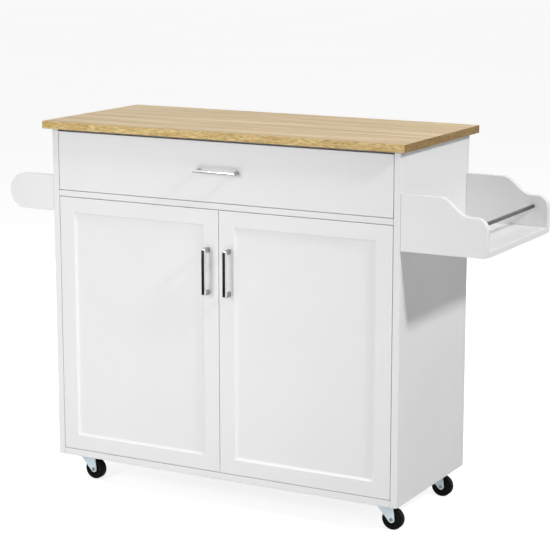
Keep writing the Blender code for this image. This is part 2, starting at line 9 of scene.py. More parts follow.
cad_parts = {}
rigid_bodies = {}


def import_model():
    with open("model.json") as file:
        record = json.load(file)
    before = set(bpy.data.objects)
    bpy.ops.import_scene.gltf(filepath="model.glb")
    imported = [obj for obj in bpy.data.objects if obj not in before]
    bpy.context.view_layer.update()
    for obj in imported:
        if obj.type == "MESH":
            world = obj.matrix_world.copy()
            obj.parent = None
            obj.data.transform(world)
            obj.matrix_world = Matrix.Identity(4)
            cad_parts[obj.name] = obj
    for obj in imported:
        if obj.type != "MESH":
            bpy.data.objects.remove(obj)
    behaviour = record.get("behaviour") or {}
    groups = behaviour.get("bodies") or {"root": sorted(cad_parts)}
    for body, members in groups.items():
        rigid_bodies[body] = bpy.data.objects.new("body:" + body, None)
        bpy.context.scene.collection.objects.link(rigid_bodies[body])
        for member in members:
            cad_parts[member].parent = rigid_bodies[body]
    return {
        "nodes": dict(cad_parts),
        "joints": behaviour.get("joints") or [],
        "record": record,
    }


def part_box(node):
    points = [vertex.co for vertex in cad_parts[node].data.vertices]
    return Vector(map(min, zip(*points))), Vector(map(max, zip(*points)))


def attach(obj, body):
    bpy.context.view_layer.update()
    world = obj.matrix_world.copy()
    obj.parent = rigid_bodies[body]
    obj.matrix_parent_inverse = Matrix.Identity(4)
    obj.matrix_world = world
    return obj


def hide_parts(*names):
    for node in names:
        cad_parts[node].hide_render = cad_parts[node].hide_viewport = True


for leftover in list(bpy.data.objects):
    bpy.data.objects.remove(leftover, do_unlink=True)

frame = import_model()
bpy.context.view_layer.update()
NODES = frame["nodes"]
JOINTS = {joint["name"]: joint for joint in frame["joints"]}

SIDES = ("left", "right")
ENDS = ("front", "back")
LEVELS = ("low", "high")
CORNERS = [f"{side}_{end}" for side in SIDES for end in ENDS]
UP = Vector((0.0, 0.0, 1.0))
INWARD = {"left": 1, "right": -1}
BOARD = 0.016  # thickness of the doors and the drawer front


# ---------------------------------------------------------------- material helpers
def add_ramp(tree, factor, *stops):
    """Colours, or greys, along a factor: stops are (place, colour or value)."""
    node = tree.nodes.new("ShaderNodeValToRGB")
    while len(node.color_ramp.elements) < len(stops):
        node.color_ramp.elements.new(0.5)
    for element, (place, colour) in zip(node.color_ramp.elements, stops):
        element.position = place
        if isinstance(colour, float):
            colour = (colour, colour, colour)
        element.color = (*colour, 1.0)
    tree.links.new(factor, node.inputs["Fac"])
    return node.outputs["Color"]


def add_mix(tree, factor, first, second, blend="MIX"):
    """Two colours mixed or blended; each input is a socket, a number or a colour."""
    node = tree.nodes.new("ShaderNodeMix")
    node.data_type = "RGBA"
    node.blend_type = blend
    for value, target in ((factor, node.inputs[0]), (first, node.inputs[6]), (second, node.inputs[7])):
        if isinstance(value, bpy.types.NodeSocket):
            tree.links.new(value, target)
        elif isinstance(value, float):
            target.default_value = value
        else:
            target.default_value = (*value, 1.0)
    return node.outputs[2]


class Look:
    """A Principled material being built: each method adds one node and returns its output."""

    def __init__(self, name, metallic=0.0, roughness=0.5, **sockets):
        self.material = bpy.data.materials.new(name)
        self.material.use_nodes = True
        self.tree = self.material.node_tree
        self.shader = self.tree.nodes["Principled BSDF"]
        self.shader.inputs["Metallic"].default_value = metallic
        self.shader.inputs["Roughness"].default_value = roughness
        for socket, value in sockets.items():
            self.shader.inputs[socket.replace("_", " ")].default_value = value
        self.place = self.tree.nodes.new("ShaderNodeTexCoord").outputs["Object"]

    def link(self, source, target):
        self.tree.links.new(source, target)

    def stretched(self, scale):
        """The piece's own coordinates, in metres, multiplied along each axis."""
        node = self.tree.nodes.new("ShaderNodeMapping")
        node.inputs["Scale"].default_value = scale
        self.link(self.place, node.inputs["Vector"])
        return node.outputs["Vector"]

    def noise(self, vector, detail=3.0, roughness=0.5, distortion=0.0):
        node = self.tree.nodes.new("ShaderNodeTexNoise")
        node.inputs["Scale"].default_value = 1.0
        node.inputs["Detail"].default_value = detail
        node.inputs["Roughness"].default_value = roughness
        node.inputs["Distortion"].default_value = distortion
        self.link(vector, node.inputs["Vector"])
        return node.outputs["Fac"]

    def cells(self, vector):
        """One random grey for each crystal-shaped cell."""
        node = self.tree.nodes.new("ShaderNodeTexVoronoi")
        node.inputs["Scale"].default_value = 1.0
        self.link(vector, node.inputs["Vector"])
        return self.maths("MULTIPLY", node.outputs["Color"], 1.0)

    def ramp(self, factor, *stops):
        return add_ramp(self.tree, factor, *stops)

    def mixed(self, factor, first, second, blend="MIX"):
        return add_mix(self.tree, factor, first, second, blend)

    def maths(self, operation, first, second=0.0):
        node = self.tree.nodes.new("ShaderNodeMath")
        node.operation = operation
        for value, target in ((first, node.inputs[0]), (second, node.inputs[1])):
            if isinstance(value, bpy.types.NodeSocket):
                self.link(value, target)
            else:
                target.default_value = value
        return node.outputs[0]

    def ranged(self, value, low, high):
        """A 0 to 1 value moved to another range."""
        node = self.tree.nodes.new("ShaderNodeMapRange")
        node.inputs["To Min"].default_value = low
        node.inputs["To Max"].default_value = high
        self.link(value, node.inputs["Value"])
        return node.outputs["Result"]

    def normal(self, axis):
        """One part of the surface's direction, -1 to 1."""
        geometry = self.tree.nodes.new("ShaderNodeNewGeometry")
        split = self.tree.nodes.new("ShaderNodeSeparateXYZ")
        self.link(geometry.outputs["True Normal"], split.inputs[0])
        return split.outputs[axis]

    def facing(self, axis):
        """How far the surface faces along one axis, 0 to 1 either way."""
        return self.maths("ABSOLUTE", self.normal(axis))

    def underside(self):
        """1 where the surface faces down, 0 elsewhere."""
        clearly_down = -0.6
        return self.maths("LESS_THAN", self.normal(2), clearly_down)

    def colour(self, output):
        self.link(output, self.shader.inputs["Base Color"])

    def rough(self, output):
        self.link(output, self.shader.inputs["Roughness"])

    def bumps(self, *layers):
        """Height maps stacked into the normal: each is (height, depth in metres, strength)."""
        normal = None
        for height, depth, strength in layers:
            node = self.tree.nodes.new("ShaderNodeBump")
            node.inputs["Distance"].default_value = depth
            node.inputs["Strength"].default_value = strength
            self.link(height, node.inputs["Height"])
            if normal:
                self.link(normal, node.inputs["Normal"])
            normal = node.outputs["Normal"]
        self.link(normal, self.shader.inputs["Normal"])


# ---------------------------------------------------------------- materials
def white_laminate():
    """Melamine-faced board: faint cloudy tone, a pearled press texture and soft sheen marks."""
    look = Look("white_laminate_board", Specular_IOR_Level=0.45)
    cloud = look.noise(look.stretched((5, 5, 5)), detail=4)
    look.colour(look.ramp(cloud, (0.30, 0.80), (0.70, 0.825)))
    wiped = look.noise(look.stretched((14, 14, 3)), detail=3)
    look.rough(look.ranged(wiped, 0.34, 0.50))
    pearl = look.noise(look.stretched((900, 900, 900)), detail=2)
    waviness = look.noise(look.stretched((9, 9, 9)), detail=1)
    look.bumps((waviness, 0.0006, 0.25), (pearl, 0.00004, 0.5))
    return look.material


def white_lacquer():
    """Sprayed lacquer on fibreboard: a fine orange peel and a slightly closer sheen."""
    look = Look("white_lacquer_board", Specular_IOR_Level=0.5, Coat_Weight=0.12, Coat_Roughness=0.25)
    cloud = look.noise(look.stretched((4, 4, 4)), detail=4)
    look.colour(look.ramp(cloud, (0.30, 0.81), (0.70, 0.83)))
    sheen = look.noise(look.stretched((11, 11, 11)), detail=3)
    look.rough(look.ranged(sheen, 0.30, 0.42))
    peel = look.noise(look.stretched((330, 330, 330)), detail=2)
    look.bumps((peel, 0.00005, 0.45))
    return look.material


def drawer_foil():
    """Foil-wrapped drawer box: a woven linen print with a matt surface."""
    look = Look("drawer_linen_foil", Specular_IOR_Level=0.35)
    threads_along = look.noise(look.stretched((60, 60, 1300)), detail=2)
    threads_across = look.noise(look.stretched((1300, 1300, 60)), detail=2)
    weave = look.maths("MULTIPLY", threads_along, threads_across)
    look.colour(look.ramp(weave, (0.12, (0.70, 0.70, 0.68)), (0.42, (0.79, 0.79, 0.775))))
    look.rough(look.ranged(weave, 0.62, 0.45))
    look.bumps((weave, 0.00006, 0.5))
    return look.material


def oak_worktop():
    """Light oak laminate: long streaks on top, a busier, yellower band on the edges, brown paper below,
    painted near-black as the shade under the worktop.
    """
    look = Look("light_oak_worktop", Specular_IOR_Level=0.42)
    bands = look.noise(look.stretched((1.3, 42, 42)), detail=4, roughness=0.58, distortion=0.4)
    streaks = look.noise(look.stretched((3.4, 170, 170)), detail=4, roughness=0.68, distortion=0.45)
    fibres = look.noise(look.stretched((14, 620, 620)), detail=3, roughness=0.6)
    pores = look.noise(look.stretched((34, 900, 900)), detail=2, roughness=0.5)
    tone = look.ramp(
        bands,
        (0.32, (0.392, 0.248, 0.115)),
        (0.43, (0.534, 0.374, 0.199)),
        (0.50, (0.623, 0.461, 0.262)),
        (0.60, (0.783, 0.644, 0.421)),
    )
    streak_tone = look.ramp(
        streaks,
        (0.37, (0.33, 0.182, 0.078)),
        (0.46, (0.561, 0.392, 0.211)),
        (0.53, (0.65, 0.487, 0.286)),
        (0.62, (0.84, 0.70, 0.46)),
    )
    face = look.mixed(0.58, tone, streak_tone)
    fibre_shade = look.ramp(fibres, (0.35, 0.86), (0.60, 1.0))
    face = look.mixed(0.8, face, fibre_shade, "MULTIPLY")
    pore_shade = look.ramp(pores, (0.30, 0.62), (0.37, 1.0))
    face = look.mixed(0.55, face, pore_shade, "MULTIPLY")
    varnish = (0.94, 0.925, 0.845)
    face = look.mixed(1.0, face, varnish, "MULTIPLY")

    flecks = look.noise(look.stretched((60, 60, 330)), detail=4, roughness=0.62, distortion=0.5)
    blotches = look.noise(look.stretched((16, 16, 90)), detail=3)
    edge = look.ramp(
        flecks,
        (0.30, (0.318, 0.194, 0.053)),
        (0.44, (0.572, 0.404, 0.151)),
        (0.56, (0.731, 0.546, 0.246)),
        (0.72, (0.869, 0.704, 0.398)),
    )
    blotch_tint = look.ramp(blotches, (0.35, (0.82, 0.77, 0.68)), (0.65, (1.0, 1.0, 1.0)))
    edge = look.mixed(1.0, edge, blotch_tint, "MULTIPLY")
    sideways = look.ramp(look.facing(0), (0.45, 0.0), (0.75, 1.0))
    end_band = look.mixed(1.0, edge, (0.41, 0.34, 0.205), "MULTIPLY")
    edge = look.mixed(sideways, edge, end_band)
    level = look.ramp(look.facing(2), (0.45, 0.0), (0.75, 1.0))
    wood = look.mixed(level, edge, face)
    # Painted shade: the down-facing backing is brown paper darkened almost to black, standing for the shade
    # under the worktop.
    mottle = look.noise(look.stretched((40, 40, 40)))
    paper_and_shade = look.ramp(mottle, (0.3, (0.060, 0.042, 0.028)), (0.7, (0.10, 0.072, 0.05)))
    look.colour(look.mixed(look.underside(), wood, paper_and_shade))
    look.rough(look.ranged(streaks, 0.42, 0.56))
    look.bumps((fibres, 0.00010, 0.35), (pores, 0.00012, 0.25))
    return look.material


def chrome_plate():
    """Polished plating with hair scratches and a trace of finger haze."""
    look = Look("polished_chrome", metallic=1.0)
    haze = look.noise(look.stretched((35, 35, 35)), detail=3)
    look.colour(look.ramp(haze, (0.3, (0.80, 0.80, 0.82)), (0.7, (0.88, 0.88, 0.895))))
    look.rough(look.ranged(haze, 0.03, 0.09))
    hairs = look.noise(look.stretched((1500, 60, 60)), detail=2)
    look.bumps((hairs, 0.00001, 0.3))
    return look.material


def handle_foot():
    """The handle's cast feet: a rougher, greyer plating than the bar, its grey darkened further as painted
    shade, for the shaded door the feet reflect.
    """
    look = Look("handle_foot_painted_shade", metallic=1.0)
    cast = look.noise(look.stretched((260, 260, 260)), detail=4)
    look.colour(look.ramp(cast, (0.3, (0.34, 0.34, 0.345)), (0.7, (0.46, 0.46, 0.465))))
    look.rough(look.ranged(cast, 0.28, 0.42))
    look.bumps((cast, 0.00003, 0.4))
    return look.material


def dark_rod():
    """The rack rods: a plated tube, ground along its length, with a near-black base colour that is painted
    dark reflection.
    """
    look = Look("rod_painted_dark_reflection", metallic=1.0)
    haze = look.noise(look.stretched((30, 8, 30)), detail=3)
    # Painted reflection: the near-black colour stands for the dark surroundings the plated rod reflects.
    look.colour(look.ramp(haze, (0.3, (0.075, 0.076, 0.08)), (0.7, (0.13, 0.131, 0.135))))
    look.rough(look.ranged(haze, 0.16, 0.26))
    grinding = look.noise(look.stretched((1400, 40, 1400)), detail=2)
    look.bumps((grinding, 0.00002, 0.35))
    return look.material


def zinc_sheet():
    """Bright zinc on pressed steel: bluish crystal grains of slightly different tone and gloss."""
    look = Look("blue_zinc_sheet", metallic=0.2)
    shade = look.cells(look.stretched((420, 420, 420)))
    smear = look.noise(look.stretched((120, 120, 60)), detail=3)
    tone = look.ramp(smear, (0.3, (0.70, 0.83, 0.91)), (0.7, (0.82, 0.93, 0.98)))
    grain_tone = look.ramp(shade, (0.2, (0.62, 0.73, 0.80)), (0.8, (0.92, 0.97, 0.99)))
    look.colour(look.mixed(0.18, tone, grain_tone))
    look.rough(look.ranged(smear, 0.26, 0.44))
    look.bumps((shade, 0.00002, 0.35), (smear, 0.0001, 0.2))
    return look.material


def nickel_plate():
    """Satin nickel on stamped steel, drawn in one direction."""
    look = Look("satin_nickel", metallic=1.0)
    drawn = look.noise(look.stretched((90, 90, 1400)), detail=2)
    look.colour(look.ramp(drawn, (0.3, (0.60, 0.59, 0.57)), (0.7, (0.72, 0.71, 0.69))))
    look.rough(look.ranged(drawn, 0.24, 0.38))
    look.bumps((drawn, 0.00002, 0.4))
    return look.material


def black_tyre():
    """Hard rubber: nearly black, dusty grey scuffs and a fine moulded grain."""
    look = Look("black_rubber_tyre", Specular_IOR_Level=0.08)
    scuffs = look.noise(look.stretched((160, 160, 160)), detail=5, roughness=0.7)
    look.colour(look.ramp(scuffs, (0.45, (0.003, 0.003, 0.003)), (0.75, (0.008, 0.008, 0.008))))
    look.rough(look.ranged(scuffs, 0.38, 0.62))
    grain = look.noise(look.stretched((1700, 1700, 1700)), detail=2)
    look.bumps((grain, 0.00005, 0.5), (scuffs, 0.0001, 0.3))
    return look.material


def black_hub():
    """Moulded hub plastic, a little shinier than the tyre."""
    look = Look("black_hub_plastic", Specular_IOR_Level=0.14)
    flow = look.noise(look.stretched((70, 70, 70)), detail=3)
    look.colour(look.ramp(flow, (0.3, (0.005, 0.005, 0.005)), (0.7, (0.011, 0.011, 0.012))))
    look.rough(look.ranged(flow, 0.28, 0.42))
    look.bumps((look.noise(look.stretched((1200, 1200, 1200)), detail=2), 0.00003, 0.4))
    return look.material


def dark_hole():
    """Painted shade of a drilled hole: the unlit inside of a hole in brown chipboard, as a colour on a flat
    disc.
    """
    look = Look("hole_painted_shade", Specular_IOR_Level=0.1, roughness=0.9)
    chips = look.noise(look.stretched((900, 900, 900)), detail=3)
    look.colour(look.ramp(chips, (0.3, (0.035, 0.025, 0.015)), (0.7, (0.12, 0.085, 0.05))))
    look.bumps((chips, 0.0003, 0.6))
    return look.material


LAMINATE = white_laminate()
LACQUER = white_lacquer()
FOIL = drawer_foil()
OAK = oak_worktop()
CHROME = chrome_plate()
SHADED_FOOT = handle_foot()
ROD = dark_rod()
ZINC = zinc_sheet()
NICKEL = nickel_plate()
TYRE = black_tyre()
HUB = black_hub()
HOLE_SHADE = dark_hole()

SLOT_LOOKS = {
    "white_laminate": LAMINATE,
    "white_lacquer": LACQUER,
    "drawer_foil": FOIL,
    "oak_worktop": OAK,
    "nickel_steel": NICKEL,
    "chrome": CHROME,
    "zinc_steel": ZINC,
    "black_rubber": TYRE,
}


def dress_cad_nodes():
    """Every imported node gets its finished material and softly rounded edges."""
    slots = {entry["node"]: entry["material_slot"] for entry in frame["record"]["subparts"]}
    for name, node in NODES.items():
        node.material_slots[0].material = SLOT_LOOKS[slots[name]]
        weld = node.modifiers.new("weld", "WELD")
        weld.merge_threshold = 0.00002
        bevel = node.modifiers.new("rounded_edges", "BEVEL")
        bevel.width = 0.0004
        bevel.segments = 2
        bevel.limit_method = "ANGLE"
        bevel.angle_limit = math.radians(30)


# ---------------------------------------------------------------- mesh helpers
def finish_mesh(name, shape, look, sharp=35.0):
    bmesh.ops.recalc_face_normals(shape, faces=shape.faces)
    mesh = bpy.data.meshes.new(name)
    shape.to_mesh(mesh)
    shape.free()
    mesh.materials.append(look)
    mesh.shade_smooth()
    mesh.set_sharp_from_angle(angle=math.radians(sharp))
    return mesh


def put(name, mesh, body, place=None):
    thing = bpy.data.objects.new(name, mesh)
    bpy.context.scene.collection.objects.link(thing)
    if place is not None:
        thing.matrix_world = place
    bpy.context.view_layer.update()
    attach(thing, body)
    return thing


def round_edges(thing, width, segments=3, angle=30):
    bevel = thing.modifiers.new("rounded_edges", "BEVEL")
    bevel.width = width
    bevel.segments = segments
    bevel.limit_method = "ANGLE"
    bevel.angle_limit = math.radians(angle)
    normals = thing.modifiers.new("even_normals", "WEIGHTED_NORMAL")
    normals.keep_sharp = False


def block(size):
    shape = bmesh.new()
    bmesh.ops.create_cube(shape, size=1.0)
    bmesh.ops.scale(shape, vec=size, verts=shape.verts)
    return shape


def turned(profile, steps=64):
    """A (radius, height) profile turned about Z."""
    shape = bmesh.new()
    points = [shape.verts.new((radius, 0.0, height)) for radius, height in profile]
    edges = [shape.edges.new(pair) for pair in zip(points, points[1:])]
    bmesh.ops.spin(
        shape,
        geom=points + edges,
        cent=(0, 0, 0),
        axis=(0, 0, 1),
        angle=math.tau,
        steps=steps,
        use_merge=True,
    )
    bmesh.ops.remove_doubles(shape, verts=shape.verts, dist=0.000001)
    return shape


def drum(radius, bottom, top):
    """The profile of a plain round cutter, to be turned."""
    return [(0.0, bottom), (radius, bottom), (radius, top), (0.0, top)]


def extruded(outline, thickness):
    """A flat (x, z) outline, thickened evenly to both sides along Y."""
    shape = bmesh.new()
    face = shape.faces.new([shape.verts.new((x, -thickness / 2, z)) for x, z in outline])
    pushed = bmesh.ops.extrude_face_region(shape, geom=[face])
    moved = [part for part in pushed["geom"] if isinstance(part, bmesh.types.BMVert)]
    bmesh.ops.translate(shape, vec=(0.0, thickness, 0.0), verts=moved)
    return shape


def arc(centre, radius, start, end, steps):
    points = []
    for step in range(steps + 1):
        angle = math.radians(start + (end - start) * step / steps)
        points.append((centre[0] + radius * math.cos(angle), centre[1] + radius * math.sin(angle)))
    return points


def standing(axis):
    """The turn that takes +Z to an axis."""
    return UP.rotation_difference(Vector(axis)).to_matrix().to_4x4()


def set_at(place, axis=(0, 0, 1), spin=0.0):
    return Matrix.Translation(place) @ standing(axis) @ Matrix.Rotation(spin, 4, "Z")


def group(name, mesh, places, body):
    """Copies of one small mesh at several places, as one piece on one body."""
    shape = bmesh.new()
    for place in places:
        start = len(shape.verts)
        shape.from_mesh(mesh)
        shape.verts.ensure_lookup_table()
        bmesh.ops.transform(shape, matrix=place, verts=shape.verts[start:])
    return put(name, finish_mesh(name, shape, mesh.materials[0]), body)


def carve(mesh, cutter_mesh, look, operation="DIFFERENCE"):
    """One mesh cut by another, or joined to it."""
    thing = bpy.data.objects.new("carving", mesh)
    cutter = bpy.data.objects.new("cutter", cutter_mesh)
    for made in (thing, cutter):
        bpy.context.scene.collection.objects.link(made)
    boolean = thing.modifiers.new("cut", "BOOLEAN")
    boolean.operation = operation
    boolean.object = cutter
    boolean.solver = "EXACT"
    bpy.context.view_layer.update()
    evaluated = thing.evaluated_get(bpy.context.evaluated_depsgraph_get())
    result = bpy.data.meshes.new_from_object(evaluated)
    for made in (thing, cutter):
        bpy.data.objects.remove(made, do_unlink=True)
    result.materials.clear()
    result.materials.append(look)
    result.shade_smooth()
    result.set_sharp_from_angle(angle=math.radians(35))
    return result


def middle(corners):
    return (corners[0] + corners[1]) / 2


# ---------------------------------------------------------------- screws
def screw_head(name, radius, height, look):
    """A low domed head with a cross recess, standing on Z = 0."""
    shoulder = 0.35
    cross_length = radius * 1.1
    cross_width = radius * 0.24
    recess_middle = height * 0.95
    dome = [(0.0, height)]
    for angle in range(15, 91, 15):
        turn = math.radians(angle)
        dome.append((radius * math.sin(turn), height * (shoulder + (1 - shoulder) * math.cos(turn))))
    dome += [(radius, 0.0), (0.0, 0.0)]
    head = finish_mesh(name, turned(dome, 32), look)
    for size in ((cross_length, cross_width, height), (cross_width, cross_length, height)):
        arm = finish_mesh("cross_arm", block(size), look)
        arm.transform(Matrix.Translation((0, 0, recess_middle)))
        head = carve(head, arm, look)
    head.name = name
    return head


PAN_HEAD = screw_head("pan_head", 0.0037, 0.0020, NICKEL)
FLAT_HEAD = screw_head("flat_head", 0.0033, 0.0009, NICKEL)
PANEL_SCREW = screw_head("panel_screw", 0.0042, 0.0013, ZINC)


# ---------------------------------------------------------------- handles
def bar_handle(name, body, upright, fullness):
    """A straight bar on two feet; a fuller section has a flatter face and tighter edges."""
    low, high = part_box(name)
    centre = middle((low, high))
    half = (high - low)[2 if upright else 0] / 2
    half_width = (high - low)[0 if upright else 2] / 2
    reach = high.y - low.y
    foot_face = high.y
    bar = 0.0062
    foot = 0.011
    bend = 0.003
    bend_steps = 6
    past_bend = 0.0006
    inner_half = half - foot
    underside = reach - bar
    sides = 40

    outer_centre = (-half + bend, reach - bend)
    left_outer = [(-half, 0.0)] + arc(outer_centre, bend, 180, 90, bend_steps)
    left_outer.append((-half + bend + past_bend, reach))
    inner_centre = (-inner_half + bend, underside - bend)
    left_inner = [(-inner_half, 0.0)] + arc(inner_centre, bend, 180, 90, bend_steps)
    left_inner.append((-inner_half + bend + past_bend, underside))
    outer = left_outer + [(-x, y) for x, y in reversed(left_outer)]
    inner = left_inner + [(-x, y) for x, y in reversed(left_inner)]

    def rounded(part):
        """One coordinate of a point on a rounded square, from a sine or cosine."""
        return math.copysign(abs(part) ** (2 / fullness), part)

    shape = bmesh.new()
    rings = []
    for out_point, in_point in zip(outer, inner):
        out_point = Vector(out_point)
        in_point = Vector(in_point)
        mid = (out_point + in_point) / 2
        arm = (out_point - in_point) / 2
        ring = []
        for number in range(sides):
            angle = math.tau * number / sides
            place = mid + arm * rounded(math.sin(angle))
            ring.append(shape.verts.new((place.x, rounded(math.cos(angle)) * half_width, place.y)))
        rings.append(ring)
    for first, second in zip(rings, rings[1:]):
        for number in range(sides):
            after = (number + 1) % sides
            shape.faces.new((first[number], first[after], second[after], second[number]))
    shape.faces.new(rings[0])
    shape.faces.new(rings[-1])
    mesh = finish_mesh(f"{name}_bar", shape, CHROME, 50)
    mesh.materials.append(SHADED_FOOT)
    # The feet take the darker plate, whose grey is partly painted shade.
    for face in mesh.polygons:
        face.material_index = 1 if face.center.z < underside - bend / 2 else 0
    turn = Matrix.Rotation(math.pi / 2, 4, "Y") if upright else Matrix.Identity(4)
    lie_out = Matrix.Rotation(math.pi / 2, 4, "X")
    place = Matrix.Translation((centre.x, foot_face, centre.z)) @ turn @ lie_out
    bar_piece = put(f"{name}_bar", mesh, body, place)
    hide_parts(name)

    post = half - foot / 2
    screw_turn = 0.5
    along = Vector((0, 0, post)) if upright else Vector((post, 0, 0))
    board_back = Vector((centre.x, foot_face + BOARD, centre.z))
    places = [set_at(board_back + along * end, (0, 1, 0), screw_turn) for end in (-1, 1)]
    group(f"{name}_screws", PAN_HEAD, places, body)


# ---------------------------------------------------------------- rods
def rack_rod(name, body):
    """A plated tube with eased ends in its two sockets."""
    low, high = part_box(name)
    radius = (high.x - low.x) / 2
    half = (high.y - low.y) / 2
    ease = radius * 0.25
    profile = [
        (0.0, -half),
        (radius - ease, -half),
        (radius, -half + ease),
        (radius, half - ease),
        (radius - ease, half),
        (0.0, half),
    ]
    mesh = finish_mesh(f"{name}_tube", turned(profile, 64), ROD)
    tube = put(f"{name}_tube", mesh, body, set_at(middle((low, high)), (0, 1, 0)))
    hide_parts(name)


# ---------------------------------------------------------------- doors
def door_leaf(side):
    """The leaf with a stepped and sloped border round its sunk panel."""
    name = f"door_{side}"
    low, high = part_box(name)
    size = high - low
    edge = 0.0011
    stile = 0.0535
    rail = 0.050
    border_steps = ((0.0022, 0.0024), (0.0040, 0.0014), (0.0048, 0.0008))
    pocket_radius = 0.0178
    pocket_depth = 0.0113
    shape = block(size)
    front = min(shape.faces, key=lambda face: face.calc_center_median().y)
    bmesh.ops.inset_region(shape, faces=[front], thickness=rail, depth=0)
    for corner in front.verts:
        corner.co.x -= math.copysign(stile - rail, corner.co.x)
    for width, depth in border_steps:
        bmesh.ops.inset_region(shape, faces=[front], thickness=width, depth=-depth)
    mesh = finish_mesh(f"{name}_leaf", shape, LACQUER)
    for level in LEVELS:
        centre = middle(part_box(f"hinge_cup_{side}_{level}")) - middle((low, high))
        pocket = turned(drum(pocket_radius, -pocket_depth, 0.004), 48)
        cutter = finish_mesh("pocket", pocket, LACQUER)
        cutter.transform(set_at((centre.x, size.y / 2, centre.z), (0, 1, 0)))
        mesh = carve(mesh, cutter, LACQUER)
    leaf = put(f"{name}_leaf", mesh, name, Matrix.Translation(middle((low, high))))
    round_edges(leaf, edge, 3, 20)
    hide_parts(name)
    bar_handle(f"door_handle_{side}", name, upright=True, fullness=9.0)


# ---------------------------------------------------------------- hinges
def hinge_cup(side, level):
    """A pressed cup with a flange, two screwed wings and the two link pins inside."""
    name = f"hinge_cup_{side}_{level}"
    body = f"door_{side}"
    low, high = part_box(name)
    centre = middle((low, high))
    sheet = 0.0012
    rim = high.y - sheet
    flange_radius = (high.x - low.x) / 2
    profile = [
        (0.0, -0.0098),
        (0.0150, -0.0098),
        (0.0162, -0.0086),
        (0.0162, 0.0004),
        (0.0170, sheet),
        (flange_radius, sheet),
        (flange_radius, 0.0),
        (0.0174, 0.0),
        (0.0174, -0.0100),
        (0.0160, -0.0108),
        (0.0, -0.0108),
    ]
    mesh = finish_mesh(f"{name}_dish", turned(profile, 64), NICKEL)
    dish = put(f"{name}_dish", mesh, body, set_at((centre.x, rim, centre.z), (0, 1, 0)))
    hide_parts(name)

    wing_radius = 0.0060
    wing_reach = 0.0245
    wing_y = rim + 0.0007
    upper_wing = arc((0.0, wing_reach), wing_radius, 0, 180, 12)
    lower_wing = arc((0.0, -wing_reach), wing_radius, 180, 360, 12)
    plate = finish_mesh(f"{name}_wings", extruded(upper_wing + lower_wing, sheet), NICKEL)
    hole = finish_mesh("wing_hole", turned(drum(0.0164, -0.01, 0.01), 48), NICKEL)
    hole.transform(standing((0, 1, 0)))
    plate = carve(plate, hole, NICKEL)
    put(f"{name}_wings", plate, body, Matrix.Translation((centre.x, wing_y, centre.z)))

    screw_reach = 0.0250
    screw_turn = 0.3
    places = [
        set_at((centre.x, rim + sheet, centre.z + offset), (0, 1, 0), screw_turn)
        for offset in (-screw_reach, screw_reach)
    ]
    group(f"{name}_screws", FLAT_HEAD, places, body)

    pin_half = 0.0140
    pin_radius = 0.0015
    ease = 0.0002
    pin_depth = 0.0030
    pin_spread = 0.0060
    half_pin = [(0.0, -pin_half), (pin_radius - ease, -pin_half), (pin_radius, -pin_half + ease)]
    pin = half_pin + [(reach, -height) for reach, height in reversed(half_pin)]
    pin_mesh = finish_mesh("link_pin", turned(pin, 24), NICKEL)
    pin_places = [
        Matrix.Translation((centre.x + offset, rim - pin_depth, centre.z))
        for offset in (-pin_spread, pin_spread)
    ]
    group(f"{name}_link_pins", pin_mesh, pin_places, body)


def hinge_arm(side, level):
    """A cross-shaped mounting plate with a folded arm, two adjusting screws and two fixing screws."""
    name = f"hinge_arm_{side}_{level}"
    low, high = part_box(name)
    centre = middle((low, high))
    inward = INWARD[side]
    wall = low.x if side == "left" else high.x
    length = high.y - low.y
    half_height = (high.z - low.z) / 2
    plate_reach = 0.020
    plate_middle = low.y + 0.032
    plate_thickness = 0.002
    wing_radius = 0.007

    upper_wing = arc((0.0, half_height - wing_radius), wing_radius, 0, 180, 10)
    lower_wing = arc((0.0, -half_height + wing_radius), wing_radius, 180, 360, 10)
    plate = finish_mesh("hinge_plate", extruded(upper_wing + lower_wing, plate_thickness), NICKEL)
    rail = finish_mesh("hinge_rail", block((2 * plate_reach, plate_thickness, 0.017)), NICKEL)
    plate = carve(plate, rail, NICKEL, "UNION")
    lie_on_wall = Matrix.Rotation(math.pi / 2, 4, "Z")
    place = Matrix.Translation((wall + inward * plate_thickness / 2, plate_middle, centre.z)) @ lie_on_wall
    mount = put(f"{name}_plate", plate, "cabinet", place)
    round_edges(mount, 0.0005, 2)
    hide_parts(name)

    sheet = 0.0013
    half_width = 0.0065
    depth = 0.0075
    arm_foot = 0.0021
    section = [
        (-half_width, 0.0),
        (-half_width, depth),
        (half_width, depth),
        (half_width, 0.0),
        (half_width - sheet, 0.0),
        (half_width - sheet, depth - sheet),
        (-half_width + sheet, depth - sheet),
        (-half_width + sheet, 0.0),
    ]
    arm_mesh = finish_mesh(f"{name}_bar", extruded(section, length), NICKEL)
    outward = Matrix.Rotation(math.pi / 2 * inward, 4, "Y")
    place = Matrix.Translation((wall + inward * arm_foot, centre.y, centre.z)) @ outward
    arm = put(f"{name}_bar", arm_mesh, "cabinet", place)
    round_edges(arm, 0.0009, 3)

    top = wall + inward * (arm_foot + depth)
    adjusters_along = (0.022, 0.046)
    places = [set_at((top, low.y + along, centre.z), (inward, 0, 0), 0.2) for along in adjusters_along]
    group(f"{name}_adjusters", FLAT_HEAD, places, "cabinet")
    screw_reach = 0.0168
    places = [
        set_at((wall + inward * plate_thickness, plate_middle, centre.z + offset), (inward, 0, 0), 0.7)
        for offset in (-screw_reach, screw_reach)
    ]
    group(f"{name}_screws", PAN_HEAD, places, "cabinet")


